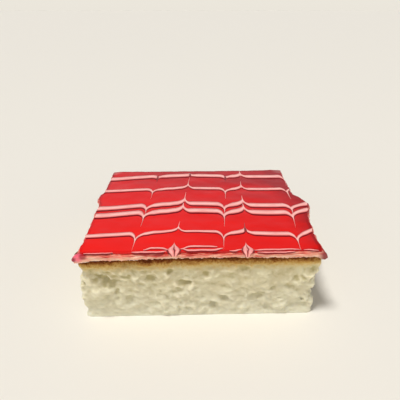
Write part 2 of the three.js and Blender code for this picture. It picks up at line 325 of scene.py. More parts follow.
# %% [markdown]
# Displace modifiers now push the sides in and out by noise of several sizes. Soft clouds give the slow
# swelling and the finest crumb. Hard clouds are folded at their middle, which makes creases: turned
# inwards they are torn hollows, and turned outwards the lumps beside them. Distorted noise adds lumps
# that follow no grain. Voronoi noise with its contrast turned up is flat nearly everywhere and low only
# at the middle of a cell, which makes single pits. All of it is read in the space of a stretched empty,
# so that lumps are wider than high.

# %% Crumb relief
LUMP_STRETCH = (1.3, 1.3, 1)
HARD_LEVEL = 0.25  # the middle grey of hard clouds


def roughen(piece, name, kind, strength, stretch=(1, 1, 1), group="", direction="NORMAL", level=0.5,
            **settings):
    """Displaces a piece by noise in a stretched space. Level is the grey that stays in place."""
    texture = bpy.data.textures.new(name, kind)
    for key, value in settings.items():
        setattr(texture, key, value)
    space = add_empty("space", scale=stretch)
    modify(piece, "DISPLACE", texture=texture, texture_coords="OBJECT", texture_coords_object=space,
           strength=strength, mid_level=level, vertex_group=group, direction=direction)
    bpy.data.objects.remove(space)


roughen(sponge, "slow_swelling", "CLOUDS", 1.2 * MM, LUMP_STRETCH, "crumb", noise_scale=7 * MM)
roughen(sponge, "torn_hollows", "CLOUDS", -2.2 * MM, LUMP_STRETCH, "torn", level=HARD_LEVEL,
        noise_scale=5.5 * MM, noise_type="HARD_NOISE")
roughen(sponge, "torn_lumps", "DISTORTED_NOISE", 0.75 * MM, LUMP_STRETCH, "torn", noise_scale=4.2 * MM,
        distortion=0.8)
roughen(sponge, "crumb_lumps", "CLOUDS", 0.66 * MM, LUMP_STRETCH, "crumb", level=HARD_LEVEL,
        noise_scale=3 * MM, noise_type="HARD_NOISE")
roughen(sponge, "pits", "VORONOI", 1.6 * MM, LUMP_STRETCH, "torn", level=1, noise_scale=10 * MM,
        noise_intensity=2, contrast=5, intensity=2, use_clamp=True)
roughen(sponge, "fine_crumb", "CLOUDS", 0.25 * MM, LUMP_STRETCH, "crumb", noise_scale=0.9 * MM)
print("sponge along X and Y in mm:", extent(sponge, X), extent(sponge, Y))

# %% [markdown]
# Pores in soaked crumb are painted darker and a little olive, as painted shade, and the tips of the crumb
# are painted a paler cream, as a painted highlight. The material needs to know which is which, so each
# point stores how far it stands out of its surroundings: its place is compared with a smoothed copy.

# %% Mark pores and tips
RELIEF_DEPTH = 0.4 * MM
RELIEF_SMOOTHING = 60


def mark_relief(piece, name):
    """Stores how far each point stands out of its smoothed surroundings, as a share of a depth."""
    bpy.ops.object.duplicate()
    even = bpy.context.object
    modify(even, "SMOOTH", factor=0.5, iterations=RELIEF_SMOOTHING)
    relief = piece.data.attributes.new(name, "FLOAT", "POINT")
    for vertex, smoothed in zip(piece.data.vertices, even.data.vertices):
        height = (vertex.co - smoothed.co).dot(vertex.normal)
        relief.data[vertex.index].value = max(-1, min(1, height / RELIEF_DEPTH))
    bpy.data.objects.remove(even)
    piece.select_set(True)
    bpy.context.view_layer.objects.active = piece
    return sum(height.value < -MOSTLY for height in relief.data) / len(relief.data)


print("share of the sponge that is pores:", round(mark_relief(sponge, "relief"), 2))

# %% [markdown]
# The sponge is still open at both rims, and its relief has carried a few points below the base. Those
# are pressed flat, so that the slice stands level. Each rim is then closed with one face: the upper one
# lies under the cream and the lower one on the floor, so neither needs a grid.

# %% Close the sponge
SMOOTH_ANGLE = math.radians(60)


def close_rims(piece):
    """Closes the open rims of a sleeve, each with one face, and turns all faces outwards."""
    bpy.ops.object.mode_set(mode="EDIT")
    select(piece, "edges", lambda edge: edge.is_boundary)
    bpy.ops.mesh.edge_face_add()
    bpy.ops.mesh.select_all(action="SELECT")
    bpy.ops.mesh.normals_make_consistent(inside=False)
    bpy.ops.object.mode_set(mode="OBJECT")


def place_on(piece, node):
    """Smooths a finished piece and lets it stand for a solid of the frame."""
    bpy.ops.object.shade_smooth_by_angle(angle=SMOOTH_ANGLE)
    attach(piece, "root")
    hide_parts(node)
    print(piece.name, "has", len(piece.data.polygons), "faces")


bpy.ops.object.mode_set(mode="EDIT")
select(sponge, "verts", lambda point: point.co.z < 0)
bpy.ops.transform.resize(value=(1, 1, 0), center_override=(0, 0, 0))
bpy.ops.object.mode_set(mode="OBJECT")
close_rims(sponge)
place_on(sponge, "sponge")

# %% [markdown]
# ## Cream layer
# Under the glaze lies a thin layer of cream. It shows only at its cut edge, as a pale pink band that
# the knife has smeared and dragged down over the crust. A curve with a bevel would give an even cord,
# so the band is a low sleeve like the sponge's, with enough rows to hang and bulge. Two vertex groups
# are filled while it is still level: one grows towards the lower edge, one towards the middle.

# %% Band of cream
TOPPING_SIZE = Vector((100, 90, 0)) * MM
CREAM_BOTTOM = 31.4 * MM
CREAM_TOP = 33 * MM
CREAM_THICKNESS = CREAM_TOP - CREAM_BOTTOM
CREAM_CORNER = 0.5 * MM
CREAM_CORNER_STEPS = 4
CREAM_ROW = 0.16 * MM
EDGE_STEP = 0.28 * MM


def depth_in_cream(place):
    return (CREAM_TOP - place.z) / CREAM_THICKNESS


cream = open_box("cream_layer", TOPPING_SIZE + Vector((0, 0, CREAM_THICKNESS)),
                 (CREAM_BOTTOM + CREAM_TOP) / 2)
cut_grid(cream, CREAM_CORNER, CREAM_CORNER_STEPS, CREAM_ROW, EDGE_STEP)
# The second is a parabola: none at both edges, and one halfway
weigh(cream, "lower", lambda place: ease(depth_in_cream(place)))
weigh(cream, "middle", lambda place: 4 * depth_in_cream(place) * (1 - depth_in_cream(place)))

# %% [markdown]
# The knife dragged cream, glaze and icing together, so one function drags any piece of the topping,
# and their edges stay one above the other. Hooks make the bulges of the sides and let the corners
# droop. Noise along X and Y makes the cut edge wander. A vertex group keeps that to the rim, because
# the topping lies flat and even farther in.

# %% Drag the topping
# Where the knife dragged the topping, how far and how wide, in millimetres
TUGS = [
    ((50, -1), (3.7, 0, 0), 14),
    ((50, -10), (2, 0, 0), 24),
    ((50, -45), (0, 1, 0), 30),
    ((50, 45), (0.4, 0.8, 0), 24),
    ((-50, -45), (-0.4, 0, 0), 9),
    ((-50, 8), (-2, 0, 0), 9),
]
# Where the corners of the topping droop
DROOPS = [
    ((50, -45), (-0.3, 0, -0.8), 6),
    ((50, 45), (0.3, 0.2, -0.4), 6),
    ((-50, 45), (-0.2, 0.2, -0.4), 6),
]
WOBBLE = {"X": 1.7 * MM, "Y": 0.84 * MM}
WOBBLE_LENGTH = 3.6 * MM
WOBBLE_STRETCH = (1, 1, 6)
RIM_WIDTH = 7 * MM


def rim_share(place):
    """One at the cut edge of the topping, and none farther in than a rim's width."""
    inside = min(TOPPING_SIZE.x / 2 - abs(place.x), TOPPING_SIZE.y / 2 - abs(place.y))
    return ease(1 - inside / RIM_WIDTH)


def drag_topping(piece, level, group=""):
    """Drags a piece of the topping that lies at a level, and lets its cut edge wander."""
    weigh(piece, "rim", rim_share)
    for at, move, reach in TUGS:
        tug(piece, (*at, level / MM), move, reach, group)
    for at, move, reach in DROOPS:
        tug(piece, (*at, level / MM), move, reach)
    for direction, distance in WOBBLE.items():
        roughen(piece, "wobble_" + direction, "CLOUDS", distance, WOBBLE_STRETCH, "rim", direction,
                noise_scale=WOBBLE_LENGTH)


drag_topping(cream, CREAM_TOP)
print("cream along X and Y in mm:", extent(cream, X), extent(cream, Y))

# %% [markdown]
# The lower edge of the cream hangs over the crust as a thin, ragged lip, lower in some stretches than
# in others. At the two front corners the knife drew it out into a fold and a flap. Hooks with a sharp
# falloff make those, because a smooth one would leave round blobs. Noise stretched along the edge
# smears the face of the band.

# %% Let the cream hang
# Where it hangs farther: at, by how much, and how wide, in millimetres
HANGS = [
    ((-50, -45, 31.4), (-0.6, 0.2, -1.2), 9),
    ((55, -1, 31.4), (0.4, 0, -1.2), 12),
    ((-36, -45, 31.4), (0, 0, -0.6), 26),
    ((42, -45, 31.4), (0, 0, -0.9), 26),
]
# The fold and the flap at the two front corners
FLAPS = [
    ((-50, -45, 31.8), (-1.9, 0, -0.6), 6),
    ((50.5, -44.5, 31.2), (3.6, 0, -2), 4.5),
]
LIP = 0.35 * MM
BULGE = 0.25 * MM
SMEAR_STRETCH = (6, 6, 1)

modify(cream, "DISPLACE", direction="Z", strength=-LIP, mid_level=0, vertex_group="lower")
for at, move, reach in HANGS:
    tug(cream, at, move, reach, "lower")
for at, move, reach in FLAPS:
    tug(cream, at, move, reach, falloff="SHARP")
roughen(cream, "wavy_lip", "CLOUDS", 0.8 * MM, group="lower", direction="Z", noise_scale=2.4 * MM)
roughen(cream, "ragged_lip", "CLOUDS", 1.1 * MM, group="lower", direction="Z", noise_scale=0.8 * MM)
modify(cream, "DISPLACE", strength=BULGE, mid_level=0, vertex_group="middle")
roughen(cream, "smears", "CLOUDS", 1.1 * MM, SMEAR_STRETCH, "middle", noise_scale=0.6 * MM)
print("cream along Z in mm:", extent(cream, Z))

# %% [markdown]
# The band is still an open sleeve. Its rims are carried inwards, level with the faces of the sponge
# and the glaze that the cream lies between, and each is closed with one face that nobody sees. The
# vertex group of the lower edge tells the two rims apart, wherever the hooks have carried them.

# %% Close the cream
RIM_INSET = 0.02


def carry_in(piece, is_rim, level):
    """Carries an open rim of a sleeve a little inwards, to a level."""
    select(piece, "edges", lambda edge: edge.is_boundary and is_rim(edge))
    bpy.ops.mesh.extrude_edges_move()
    bpy.ops.transform.resize(value=(1 - RIM_INSET, 1 - RIM_INSET, 0), center_override=(0, 0, level))


def in_group(piece, name):
    """In edit mode, a test for edges that weigh more than a half in a vertex group."""
    index = piece.vertex_groups[name].index
    weights = bmesh.from_edit_mesh(piece.data).verts.layers.deform.verify()
    return lambda edge: edge.verts[0][weights].get(index, 0) > MOSTLY


bpy.ops.object.mode_set(mode="EDIT")
carry_in(cream, in_group(cream, "lower"), CREAM_BOTTOM)
is_lower = in_group(cream, "lower")
carry_in(cream, lambda edge: not is_lower(edge), CREAM_TOP)
bpy.ops.object.mode_set(mode="OBJECT")
close_rims(cream)
place_on(cream, "cream")

# %% [markdown]
# ## Glaze
# The glaze is a thin, glossy sheet that has set level, with a rounded edge. It could be a box with a
# bevel, but then its top would mirror as flatly as glass. A fine grid is dragged like the cream
# instead, and gently waved, so that its reflections wander as they do on a poured glaze. At the front a
# wide hook lets it sag over the cream, and a small one makes room for the fold at the left. Solidify
# gives it its thickness, and a bevel rounds its edge.

# %% Glaze
GLAZE_TOP = 34 * MM
GLAZE_THICKNESS = 0.9 * MM
CREAM_SHOWING = 0.5 * MM
GLAZE_STEP = 0.46 * MM
GLAZE_ROUND = 0.4 * MM
GLAZE_ROUND_STEPS = 3
GLAZE_SIZE = TOPPING_SIZE - Vector((2, 2, 0)) * CREAM_SHOWING
# The fold of cream at the left front corner pushes the glaze back, in millimetres
FOLD_AT = (-50, -45, 34)
FOLD_PUSH = (0.8, 1.2, -0.2)
FOLD_REACH = 3.5
# Right of the middle the glaze has sagged over the cream
SAG_AT = (36, -45, 34)
SAG_MOVE = (0, -0.5, -0.55)
SAG_REACH = 42


def begin_grid(name, place, length, width, columns, lanes):
    """Adds a level grid with its middle at a place, sized in edit mode, which it leaves open."""
    piece = begin(name, bpy.ops.mesh.primitive_grid_add, size=1, location=place, x_subdivisions=columns,
                  y_subdivisions=lanes)
    bpy.ops.mesh.select_all(action="SELECT")
    bpy.ops.transform.resize(value=(length, width, 1), center_override=place)
    return piece


def wave_surface(piece):
    """The slow unevenness that glaze and icing share, and the front edge where they sagged."""
    tug(piece, SAG_AT, SAG_MOVE, SAG_REACH)
    roughen(piece, "slow_wave", "CLOUDS", 0.35 * MM, direction="Z", noise_scale=14 * MM)


glaze = begin_grid("red_glaze", (0, 0, GLAZE_TOP), GLAZE_SIZE.x, GLAZE_SIZE.y,
                   round(GLAZE_SIZE.x / GLAZE_STEP), round(GLAZE_SIZE.y / GLAZE_STEP))
bpy.ops.object.mode_set(mode="OBJECT")
drag_topping(glaze, GLAZE_TOP)
tug(glaze, FOLD_AT, FOLD_PUSH, FOLD_REACH)
wave_surface(glaze)
modify(glaze, "SOLIDIFY", thickness=GLAZE_THICKNESS, offset=-1)
modify(glaze, "BEVEL", width=GLAZE_ROUND, segments=GLAZE_ROUND_STEPS, limit_method="ANGLE",
       angle_limit=SMOOTH_ANGLE)
place_on(glaze, "glaze")

# %% [markdown]
# ## Feathered icing
# Rows of thin white icing were piped across the wet glaze, and a knife was then drawn through them to
# the front and to the back in turn. That pulls every row into sharp cusps with thin tails. A bevelled
# curve can't come to such points, so each row starts as a flat strip of small faces. Proportional
# editing raises its middle into a low dome, and its edges lie a little below the top of the glaze.

# %% Pipe the rows
ICING_SINK = 0.12 * MM
ICING_RISE = 0.3 * MM
ICING_STEP = 0.25 * MM
ICING_LANES = 8
SAME = ICING_STEP / 10  # points that are closer than this lie in one lane or column
ROW_END = 54
# Level at the ends, width, how far back the middle, the left and the right end are bent, and what share
# of the full drag each stroke has in the row
ICING_ROWS = [
    (34.1, 7, (3, -1.6, 0), (0.5, 0.15, 0.6, 0.7, 1)),
    (16.3, 4.8, (2.2, -0.8, 1), (0.8, 1, 0.9, 0.8, 1)),
    (-3.6, 6.7, (3, -1.6, 3), (0.9, 1, 1, 1, 1)),
    (-11.3, 6.9, (3, -1.6, 4.5), (1, 1, 1, 1, 1)),
    (-30.7, 4.8, (2.3, -1, 3.5), (1.1, 0.65, 1, 0.55, 1)),
]


def pull(piece, test, move, reach, falloff):
    """In edit mode, drags the points that pass a test, and what lies within reach along with them."""
    select(piece, "verts", test)
    bpy.ops.transform.translate(value=Vector(move) * MM, use_proportional_edit=True,
                                proportional_edit_falloff=falloff, proportional_size=reach * MM)


def pipe_row(y, width, start=-ROW_END, stop=ROW_END):
    """Pipes a strip of icing with a low dome along the level y, and stays in edit mode."""
    row = begin_grid("icing_row", ((start + stop) / 2 * MM, y * MM, GLAZE_TOP - ICING_SINK),
                     (stop - start) * MM, width * MM, round((stop - start) * MM / ICING_STEP), ICING_LANES)
    pull(row, lambda point: abs(point.co.y - y * MM) < SAME,
         (0, 0, (ICING_RISE + ICING_SINK) / MM), width / 2, "SPHERE")
    return row


rows = []
for y, width, *_ in ICING_ROWS:
    rows.append(pipe_row(y, width))
    bpy.ops.object.mode_set(mode="OBJECT")
print("piped", len(rows), "rows of", len(rows[0].data.polygons), "faces")

# %% [markdown]
# No row is as even as a ruler. It is thin to the right of each stroke, because the knife carried icing
# away there, and it sags towards the front or bends to the back in slow curves. Scaling and moving one
# column of its points with proportional editing does both. The strokes are needed here for the first
# time: each crosses the slice at a slant and goes to the front or to the back.

# %% Thin and bend the rows
# Where a stroke crosses the middle of the slice, its slant, and whether it goes back or to the front
STROKES = [(-25.2, 0.071, -1), (-7.3, 0.088, 1), (13.1, 0.0955, -1), (22.3, 0.08, 1), (45.7, 0.125, -1)]
BENDS = [(-6, 45), (-52, 27), (54, 12)]  # where a row is bent, and the reach of each bend
CUSP_WIDTH = (1.5, 0.7, 3)  # how far right of a stroke a row is narrow, its share, and the reach
THIN_STRETCH = (-5, 0.55, 28)  # where the foremost row is thin, to what share, and the reach


def reopen(piece):
    """Makes a piece the only one that is selected, and opens it in edit mode again."""
    bpy.ops.object.select_all(action="DESELECT")
    piece.select_set(True)
    bpy.context.view_layer.objects.active = piece
    bpy.ops.object.mode_set(mode="EDIT")


def column_at(piece, x, width=0):
    """A test for the points in the column of a strip nearest to x, or in a band of a width round it."""
    points = bmesh.from_edit_mesh(piece.data).verts
    nearest = min((point.co.x for point in points), key=lambda place: abs(place - x * MM))
    column = {point.index for point in points if abs(point.co.x - nearest) < width / 2 * MM + SAME}
    return lambda point: point.index in column


def gather(piece, test, shares, centre, reach):
    """In edit mode, scales the points that pass a test towards a place, and what lies within reach."""
    select(piece, "verts", test)
    bpy.ops.transform.resize(value=shares, center_override=centre, use_proportional_edit=True,
                             proportional_edit_falloff="SMOOTH", proportional_size=reach * MM)


def narrow(piece, x, y, share, reach):
    """Narrows a strip along y to a share of its width at x."""
    gather(piece, column_at(piece, x), (1, share, 1), (0, y * MM, 0), reach)


for row, (y, _, lifts, _) in zip(rows, ICING_ROWS):
    reopen(row)
    if row == rows[-1]:
        narrow(row, THIN_STRETCH[0], y, *THIN_STRETCH[1:])
    for x, slant, _ in STROKES:
        narrow(row, x + slant * y + CUSP_WIDTH[0], y, *CUSP_WIDTH[1:])
    for (x, reach), lift in zip(BENDS, lifts):
        pull(row, column_at(row, x), (0, lift, 0), reach, "SMOOTH")
    bpy.ops.object.mode_set(mode="OBJECT")
print("rows along Y in mm:", [extent(row, Y) for row in rows])

# %% [markdown]
# The strokes will change the colour of a row as well as its shape, and its colour is going to follow the
# UV map that its grid came with. The second value of that map runs across the row: the edges are 0 and
# 1, and the pale core is halfway. An unwrap would lose this order, so single points are given a new
# place in the map instead.

# %% Places across a row
CORE = 0.5
TAIL_END = 0.26  # redder than the core
# A weak cut takes a place nearly as dark as the painted shade at the edge
CUT_PLACE = 0.19  # nearly as dark as the edge


def recolour(row, test, across):
    """In edit mode, gives the points of a strip that pass a test one place across its UV map."""
    mesh = bmesh.from_edit_mesh(row.data)
    lanes = mesh.loops.layers.uv.active
    for point in mesh.verts:
        if test(point):
            for loop in point.link_loops:
                loop[lanes].uv.y = across
    bmesh.update_edit_mesh(row.data)


print("UV map of a row:", rows[0].data.uv_layers.active.name)

# %% [markdown]
# A stroke moves a row in four ways. It drags the whole width of the row into a soft bend with a sharp
# middle, it draws the edge that leads into a point, it spins a tail out of that point, and it carries
# the icing on one side along in a slower curve. All of these are pulls of one column, with a smaller
# reach each time. A tail is spun out of the pale core of the row, so its column takes the core's place
# in the UV map, and its end a redder one. A weak stroke only cuts the row, so a narrow band takes a
# place near the dark edge.

# %% Draw the knife through the rows
import random

ROW_DRAG = [(4.2, 3.8), (1.2, 1)]  # pull of the whole row and its reach, in millimetres
SIDE_DRAG = (0.8, 4.5)  # pull beside the stroke
SIDE_OFFSET = 3.2
EDGE_DRAG = [(1.2, 4.8), (2.6, 1.3)]  # further pull of the edge that leads
TAIL_LENGTH = (5, 10)  # shortest and longest
TAIL_REACH = 0.8
TAIL_SEED = 4
WEAK_STROKE = 0.6  # share of the full drag up to which a stroke only cuts a row
WEAK_CUT = 1.2  # width of such a cut
tails = random.Random(TAIL_SEED)


def stroke_row(row, x, slant, towards, share):
    """Draws the knife through a row at x, with a share of its full drag."""
    along = Vector((slant, 1, 0)) * towards * share
    column = column_at(row, x)
    beside = column_at(row, x - towards * SIDE_OFFSET)
    cut = column_at(row, x, WEAK_CUT)
    for distance, reach in ROW_DRAG:
        pull(row, column, along * distance, reach, "SHARP")
    pull(row, beside, along * SIDE_DRAG[0], SIDE_DRAG[1], "SMOOTH")
    points = [point for point in bmesh.from_edit_mesh(row.data).verts if column(point)]
    tip = max(points, key=lambda point: towards * point.co.y).index
    for distance, reach in [*EDGE_DRAG, (tails.uniform(*TAIL_LENGTH), TAIL_REACH)]:
        pull(row, lambda point: point.index == tip, along * distance, reach, "SHARP")
    if share > WEAK_STROKE:
        recolour(row, column, CORE)
        recolour(row, lambda point: point.index == tip, TAIL_END)
    else:
        recolour(row, cut, CUT_PLACE)


for row, (y, *_, shares) in zip(rows, ICING_ROWS):
    reopen(row)
    for (x, slant, towards), share in zip(STROKES, shares):
        stroke_row(row, x + slant * y, slant, towards, share)
    bpy.ops.object.mode_set(mode="OBJECT")
print("rows along Y in mm:", [extent(row, Y) for row in rows])

# %% [markdown]
# Then the rows become one piece, which is cut at the edges of the glaze, as the slice was cut from its
# tray. A Boolean with a box would do it too. Bisect is simpler on open strips: it cuts along a plane
# and clears what lies beyond it.

# %% Cut the rows
CUT_INSIDE = 0.3 * MM


def join(pieces):
    """Joins pieces into the last of them."""
    bpy.ops.object.select_all(action="DESELECT")
    for piece in pieces:
        piece.select_set(True)
    bpy.context.view_layer.objects.active = pieces[-1]
    bpy.ops.object.join()
    return bpy.context.object


icing = join(rows)
icing.name = icing.data.name = "feathered_icing"
bpy.ops.object.mode_set(mode="EDIT")
for side in (Vector((1, 0, 0)), Vector((-1, 0, 0)), Vector((0, 1, 0)), Vector((0, -1, 0))):
    bpy.ops.mesh.select_all(action="SELECT")
    bpy.ops.mesh.bisect(plane_co=side * (GLAZE_SIZE / 2 - Vector((1, 1, 0)) * CUT_INSIDE), plane_no=side,
                        clear_outer=True)
bpy.ops.object.mode_set(mode="OBJECT")
print("icing along X and Y in mm:", extent(icing, X), extent(icing, Y))

# %% [markdown]
# At the front edge the cut ran along a row and left only thin lines of it. They lie between the strokes,
# taper at both ends and close into flat loops, and some have sagged over the edge. Each is piped like a
# row, only shorter, with its two ends narrowed and bent. The first and the last are no icing but painted
# highlights: pale strips where the glaze's rounded front edge catches the light.

# %% Thin lines and painted highlights along the front edge
# Level, width, where a line starts and stops, how far its two ends bend back, and how far it has sagged
FRONT_LINES_AND_HIGHLIGHTS = [
    # A painted highlight on the glaze's rounded front edge, at the left
    (-44.6, 1.1, -47, -36, (0, 0), 0.35),
    (-41.8, 1.9, -24, -13.5, (-1.6, -1.3), 0),
    (-44.6, 1.8, -28, -13.5, (0.2, 0.9), 0.25),
    (-41, 1.9, -8.4, 6.5, (-1.8, -0.3), 0),
    (-43.8, 2.1, -8.6, 8.8, (0.9, 1.3), 0),
    (-44.3, 1.7, 11, 16.5, (0, 1.4), 0.1),
    (-43.1, 1.7, 21.5, 40.5, (-0.4, -0.8), 0),
    (-44.7, 1.7, 22.5, 38, (0, 0), 0.3),
    # A painted highlight on the glaze's front edge, near the right corner
    (-44, 1.4, 42, 48, (0, -0.5), 0.1),
]
END_TAPER = (0.4, 2.5)  # share of the width at an end, and the reach
END_REACH = 4

front_lines_and_highlights = []
for y, width, start, stop, lifts, sag in FRONT_LINES_AND_HIGHLIGHTS:
    line = pipe_row(y, width, start, stop)
    for end, lift in zip((start, stop), lifts):
        narrow(line, end, y, *END_TAPER)
        pull(line, column_at(line, end), (0, lift, 0), END_REACH, "SMOOTH")
    bpy.ops.mesh.select_all(action="SELECT")
    bpy.ops.transform.translate(value=(0, 0, -sag * MM))
    bpy.ops.object.mode_set(mode="OBJECT")
    front_lines_and_highlights.append(line)
print("piped", len(front_lines_and_highlights), "lines at the front")

# %% [markdown]
# Where a stroke to the back starts at the cut, the icing stands up in two petals with a slit between
# them, and hangs over the edge. A petal could be cut from a sphere. A small grid bends more easily: its
# points are gathered to the slit at the top and a little at its foot, its middle is raised, and the
# part beyond the edge is turned down in two steps, as a sheet is bent over a bar. It is piped along X
# and turned, so that its UV map runs across it as in a row.

# %% Petals at the front edge
PETAL_LENGTH = 9.5
PETAL_WIDTH = 3
PETAL_TOP = -37.5
PETAL_STEP = 0.25
PETAL_RISE = 0.5
TOP_GATHER = (0.02, 6.5)  # share of the width at the top, and the reach
FOOT_GATHER = (0.4, 3)
# The painted shade along the two petals' edges meets in this overlap as the dark slit
OVERLAP = 0.6  # how far the two petals lie over each other at the slit
FRONT = -GLAZE_SIZE.y / 2 / MM
PETAL_BENDS = [(0.3, -35), (0.9, -45)]  # how far beyond the edge, and by how many degrees


def petal(x, side):
    """One petal beside a stroke at x."""
    middle = Vector((x + side * (PETAL_WIDTH - OVERLAP) / 2, PETAL_TOP - PETAL_LENGTH / 2, 0)) * MM
    middle.z = GLAZE_TOP
    leaf = begin_grid("petal", middle, PETAL_LENGTH * MM, PETAL_WIDTH * MM,
                      round(PETAL_LENGTH / PETAL_STEP), round(PETAL_WIDTH / PETAL_STEP))
    bpy.ops.transform.rotate(value=math.radians(90), orient_axis="Z", center_override=middle)
    top = middle.y + PETAL_LENGTH / 2 * MM
    foot = middle.y - PETAL_LENGTH / 2 * MM
    pull(leaf, lambda point: abs(point.co.x - middle.x) < SAME, (0, 0, PETAL_RISE), PETAL_WIDTH / 2,
         "SPHERE")
    for end, (share, reach) in ((top, TOP_GATHER), (foot, FOOT_GATHER)):
        gather(leaf, lambda point: abs(point.co.y - end) < SAME, (share, 1, share),
               (x * MM, end, GLAZE_TOP), reach)
    for beyond, angle in PETAL_BENDS:
        edge = (FRONT - beyond) * MM
        select(leaf, "verts", lambda point: point.co.y < edge)
        bpy.ops.transform.rotate(value=math.radians(angle), orient_axis="X",
                                 center_override=(x * MM, edge, GLAZE_TOP))
    bpy.ops.object.mode_set(mode="OBJECT")
    print("petal along Z in mm:", extent(leaf, Z))
    return leaf


petals = []
for x, slant, towards in STROKES:
    if towards > 0:
        petals += [petal(x + slant * FRONT, side) for side in (-1, 1)]

# %% [markdown]
# Rows, lines and petals become one piece, because they are one icing. It is waved like the glaze that
# carries it, but dragged at its rim alone, so that the pattern stays true farther in. Solidify then
# makes a closed body of it that reaches into the glaze, so no gap can show.

# %% Drag and thicken the icing
ICING_THICKNESS = 0.45 * MM

icing = join([*front_lines_and_highlights, *petals, icing])
drag_topping(icing, GLAZE_TOP, "rim")
wave_surface(icing)
modify(icing, "SOLIDIFY", thickness=ICING_THICKNESS, offset=-1)
place_on(icing, "glaze")

# %% [markdown]
# ## Materials
# Each finish starts from what the food is, and is a network of nodes. It could be wired by a line for
# each setting and each link, but that is hard to read, so one small function adds a node with all its
# settings and links. Colours are written as colour pickers show them, in sRGB hex, and another function
# turns them into the linear values that shaders work with.

# %% Colours and nodes
COLOUR_A, COLOUR_B, MIXED = 6, 7, 2  # sockets of a Mix node for colours


def colour(code):
    """Turns an sRGB hex colour into the linear values that a shader works with."""
    parts = [int(code[i:i + 2], 16) / 255 for i in (1, 3, 5)]
    linear = [part / 12.92 if part <= 0.04045 else ((part + 0.055) / 1.055) ** 2.4 for part in parts]
    return (*linear, 1)


def set_inputs(node, values):
    """Gives inputs of a node fixed values."""
    for key, value in values.items():
        node.inputs[key].default_value = value


def add_node(tree, kind, values=None, links=None, **settings):
    """Adds a node, sets its options and inputs, and links other inputs to the outputs of nodes."""
    node = tree.nodes.new(kind)
    for key, value in settings.items():
        setattr(node, key, value)
    set_inputs(node, values or {})
    for key, output in (links or {}).items():
        tree.links.new(output, node.inputs[key])
    return node


def fill_ramp(ramp, stops):
    """Sets the stops of a colour ramp: a list of places and hex colours."""
    elements = ramp.color_ramp.elements
    while len(elements) < len(stops):
        elements.new(1)
    for element, (position, code) in zip(elements, stops):
        element.position = position
        element.color = colour(code)


def begin_material(piece, name):
    """Gives a piece a new material, and returns its node tree, its shader and its Object coordinates."""
    material = bpy.data.materials.new(name)
    material.use_nodes = True
    piece.data.materials.clear()
    piece.data.materials.append(material)
    tree = material.node_tree
    return tree, tree.nodes["Principled BSDF"], add_node(tree, "ShaderNodeTexCoord").outputs["Object"]


crumb, crumb_shader, crumb_place = begin_material(sponge, "soaked_sponge_crumb")
print("material of the sponge:", sponge.data.materials[0].name)

# %% [markdown]
# Egg sponge soaked in milk is pale cream in slow blotches. Patterns are sized in millimetres and read
# Object coordinates, which are metres here, so a noise whose features are some size across has a scale of
# one divided by that size. The relief that was stored in the mesh lays painted shade into the pores and a
# painted highlight onto the tips, which no plain noise could do, as it wouldn't know where they are.

# %% Tint of the crumb
BLOTCH_SIZE = 7 * MM
# Painted shade in the pores and painted highlight on the tips: the relief from which each is laid on, the
# relief at which it is most, and a colour
PORE_SHADE_AND_TIP_HIGHLIGHT = [(-0.15, -1, "#998b45"), (0.15, 1, "#efe8cc")]
MOST_TINT = 0.6

blotch = add_node(crumb, "ShaderNodeTexNoise", {"Scale": 1 / BLOTCH_SIZE, "Detail": 3},
                  {"Vector": crumb_place})
pale = add_node(crumb, "ShaderNodeValToRGB", links={"Fac": blotch.outputs["Fac"]})
fill_ramp(pale, [(0.35, "#c3b792"), (0.65, "#cec6a5")])
relief = add_node(crumb, "ShaderNodeAttribute", attribute_name="relief")
tinted = pale.outputs["Color"]
# Lays painted shade into the pores and a painted highlight onto the tips
for start, full, code in PORE_SHADE_AND_TIP_HIGHLIGHT:
    share = add_node(crumb, "ShaderNodeMapRange",
                     {"From Min": start, "From Max": full, "To Max": MOST_TINT},
                     {"Value": relief.outputs["Fac"]})
    mix = add_node(crumb, "ShaderNodeMix", {COLOUR_B: colour(code)},
                   {0: share.outputs[0], COLOUR_A: tinted}, data_type="RGBA")
    tinted = mix.outputs[MIXED]
print("tint of the crumb:", len(crumb.nodes), "nodes so far")

# %% [markdown]
# The top of the sponge was browned in the oven. The browning is darkest at the very top, turns to gold
# and fades into the crumb within a few millimetres, deeper on the left than on the right. A plain
# gradient over the height would end in a line, so fine noise is added to the height first: then
# every crumb browns at its own level.

# %% Browned crust
CRUST_LEAN = math.radians(0.6)
CRUST_RAGGED = 6 * MM  # the most that noise adds to a height
CRUST_GRAIN = 1.2 * MM
CRUST_FOOT = 26 * MM  # where browning starts and ends, with the noise added
CRUST_TOP = 33.9 * MM

ragged = add_node(crumb, "ShaderNodeTexNoise", {"Scale": 1 / CRUST_GRAIN, "Detail": 6, "Roughness": 0.8},
                  {"Vector": crumb_place})
leaning = add_node(crumb, "ShaderNodeMapping", {"Rotation": (0, CRUST_LEAN, 0)}, {"Vector": crumb_place})
upright = add_node(crumb, "ShaderNodeSeparateXYZ", links={"Vector": leaning.outputs[0]})
level = add_node(crumb, "ShaderNodeMath", {1: CRUST_RAGGED},
                 {0: ragged.outputs["Fac"], 2: upright.outputs["Z"]}, operation="MULTIPLY_ADD")
baked = add_node(crumb, "ShaderNodeMapRange", {"From Min": CRUST_FOOT, "From Max": CRUST_TOP},
                 {"Value": level.outputs[0]})
brown = add_node(crumb, "ShaderNodeValToRGB", links={"Fac": baked.outputs[0]})
fill_ramp(brown, [(0.15, "#d2bf8c"), (0.32, "#ceb47a"), (0.46, "#c3a05c"), (0.56, "#ac8040"),
                  (0.64, "#8f5d26"), (0.72, "#723b0e"), (0.8, "#5c2804")])
browned = add_node(crumb, "ShaderNodeMapRange", {"From Min": 0.05, "From Max": 0.4},
                   {"Value": baked.outputs[0]})
